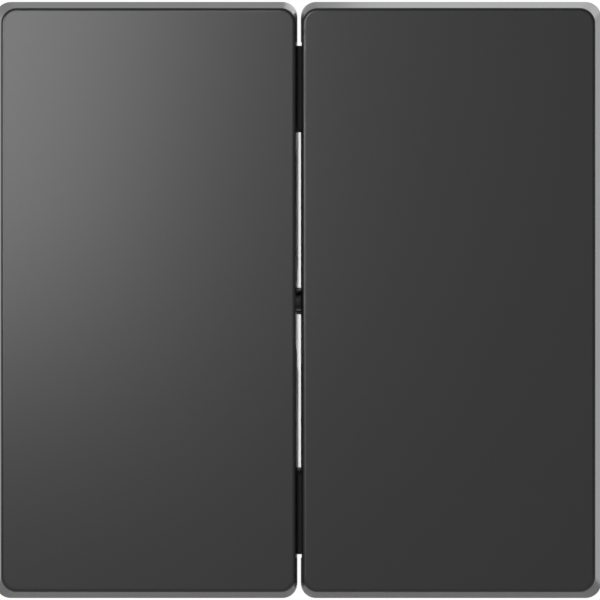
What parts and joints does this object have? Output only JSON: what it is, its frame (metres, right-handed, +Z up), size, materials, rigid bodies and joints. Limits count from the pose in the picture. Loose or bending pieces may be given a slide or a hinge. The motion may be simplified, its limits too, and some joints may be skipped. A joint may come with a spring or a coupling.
{
  "type": "rocker wall switch",
  "caption": "Flush wall switch with tall side-by-side rockers, hollow drafted covers on toggles, sprung see-saw contacts, push-in terminals and a screw-fixed support ring.",
  "frame": {"origin": "centre of the support ring's back face, which lies on the wall", "axes": "+X right, +Y into the wall, +Z up"},
  "size_m": [0.0706, 0.0387, 0.0694],
  "materials": {
    "rocker_plastic": "smooth satin anthracite thermoplastic",
    "toggle_plastic": "light grey moulded thermoplastic",
    "hood_plastic": "white moulded thermoplastic",
    "socket_plastic": "pale grey thermosetting plastic, dull",
    "cap_plastic": "grey moulded thermoplastic",
    "lever_plastic": "orange moulded thermoplastic",
    "plunger_plastic": "natural acetal, satin",
    "ring_steel": "zinc-plated rolled sheet",
    "axle_steel": "ground steel pin, oiled",
    "rivet_steel": "zinc-plated, domed",
    "spring_steel": "bright spring steel",
    "terminal_brass": "stamped brass, tin-washed edges",
    "contact_silver": "silver alloy, slightly dull",
    "contact_copper": "stamped copper strip"
  },
  "bodies": {
    "insert": {"support_ring": "ring_steel", "socket": "socket_plastic", "hood": "hood_plastic", "axle": "axle_steel", "socket_rivet_1": "rivet_steel", "socket_rivet_2": "rivet_steel", "socket_rivet_3": "rivet_steel", "socket_rivet_4": "rivet_steel", "left_common_terminal": "terminal_brass", "left_top_traveller": "terminal_brass", "left_top_fixed_tip": "contact_silver", "left_bottom_traveller": "terminal_brass", "left_bottom_fixed_tip": "contact_silver", "left_top_clamp_spring": "spring_steel", "left_top_terminal_cap": "cap_plastic", "left_common_clamp_spring": "spring_steel", "left_common_terminal_cap": "cap_plastic", "left_bottom_clamp_spring": "spring_steel", "left_bottom_terminal_cap": "cap_plastic", "right_common_terminal": "terminal_brass", "right_top_traveller": "terminal_brass", "right_top_fixed_tip": "contact_silver", "right_bottom_traveller": "terminal_brass", "right_bottom_fixed_tip": "contact_silver", "right_top_clamp_spring": "spring_steel", "right_top_terminal_cap": "cap_plastic", "right_common_clamp_spring": "spring_steel", "right_common_terminal_cap": "cap_plastic", "right_bottom_clamp_spring": "spring_steel", "right_bottom_terminal_cap": "cap_plastic"},
    "left_gang": {"left_rocker": "rocker_plastic", "left_toggle": "toggle_plastic", "left_plunger_spring": "spring_steel"},
    "left_plunger": {"left_plunger": "plunger_plastic"},
    "left_seesaw": {"left_seesaw_contact": "contact_copper", "left_top_moving_tip": "contact_silver", "left_bottom_moving_tip": "contact_silver"},
    "left_top_lever": {"left_top_release_lever": "lever_plastic"},
    "left_common_lever": {"left_common_release_lever": "lever_plastic"},
    "left_bottom_lever": {"left_bottom_release_lever": "lever_plastic"},
    "right_gang": {"right_rocker": "rocker_plastic", "right_toggle": "toggle_plastic", "right_plunger_spring": "spring_steel"},
    "right_plunger": {"right_plunger": "plunger_plastic"},
    "right_seesaw": {"right_seesaw_contact": "contact_copper", "right_top_moving_tip": "contact_silver", "right_bottom_moving_tip": "contact_silver"},
    "right_top_lever": {"right_top_release_lever": "lever_plastic"},
    "right_common_lever": {"right_common_release_lever": "lever_plastic"},
    "right_bottom_lever": {"right_bottom_release_lever": "lever_plastic"}
  },
  "joints": [
    {"name": "left_rocker_tip", "type": "hinge", "parent": "insert", "child": "left_gang", "pos_m": [0, -0.0059, 0], "axis": [1, 0, 0], "range_deg": [-4, 4]},
    {"name": "left_plunger_slide", "type": "slide", "parent": "left_gang", "child": "left_plunger", "axis": [0, -1, 0], "range_m": [0, 0.0006], "stiffness_N_per_m": 400, "springref_m": -0.003, "deforming": ["left_plunger_spring"]},
    {"name": "left_seesaw_tip", "type": "hinge", "parent": "insert", "child": "left_seesaw", "pos_m": [-0.0104, 0.0088, 0], "axis": [1, 0, 0], "range_deg": [-8, 8]},
    {"name": "left_top_lever_press", "type": "slide", "parent": "insert", "child": "left_top_lever", "axis": [0, -1, 0], "range_m": [0, 0.0013], "stiffness_N_per_m": 3000, "springref_m": -0.0005, "deforming": ["left_top_clamp_spring"]},
    {"name": "left_common_lever_press", "type": "slide", "parent": "insert", "child": "left_common_lever", "axis": [0, -1, 0], "range_m": [0, 0.0013], "stiffness_N_per_m": 3000, "springref_m": -0.0005, "deforming": ["left_common_clamp_spring"]},
    {"name": "left_bottom_lever_press", "type": "slide", "parent": "insert", "child": "left_bottom_lever", "axis": [0, -1, 0], "range_m": [0, 0.0013], "stiffness_N_per_m": 3000, "springref_m": -0.0005, "deforming": ["left_bottom_clamp_spring"]},
    {"name": "right_rocker_tip", "type": "hinge", "parent": "insert", "child": "right_gang", "pos_m": [0, -0.0059, 0], "axis": [1, 0, 0], "range_deg": [-4, 4]},
    {"name": "right_plunger_slide", "type": "slide", "parent": "right_gang", "child": "right_plunger", "axis": [0, -1, 0], "range_m": [0, 0.0006], "stiffness_N_per_m": 400, "springref_m": -0.003, "deforming": ["right_plunger_spring"]},
    {"name": "right_seesaw_tip", "type": "hinge", "parent": "insert", "child": "right_seesaw", "pos_m": [0.0104, 0.0088, 0], "axis": [1, 0, 0], "range_deg": [-8, 8]},
    {"name": "right_top_lever_press", "type": "slide", "parent": "insert", "child": "right_top_lever", "axis": [0, -1, 0], "range_m": [0, 0.0013], "stiffness_N_per_m": 3000, "springref_m": -0.0005, "deforming": ["right_top_clamp_spring"]},
    {"name": "right_common_lever_press", "type": "slide", "parent": "insert", "child": "right_common_lever", "axis": [0, -1, 0], "range_m": [0, 0.0013], "stiffness_N_per_m": 3000, "springref_m": -0.0005, "deforming": ["right_common_clamp_spring"]},
    {"name": "right_bottom_lever_press", "type": "slide", "parent": "insert", "child": "right_bottom_lever", "axis": [0, -1, 0], "range_m": [0, 0.0013], "stiffness_N_per_m": 3000, "springref_m": -0.0005, "deforming": ["right_bottom_clamp_spring"]}
  ],
  "couplings": [
    {"joint": "left_seesaw_tip", "follows": "left_rocker_tip", "ratio": -2},
    {"joint": "right_seesaw_tip", "follows": "right_rocker_tip", "ratio": -2}
  ]
}
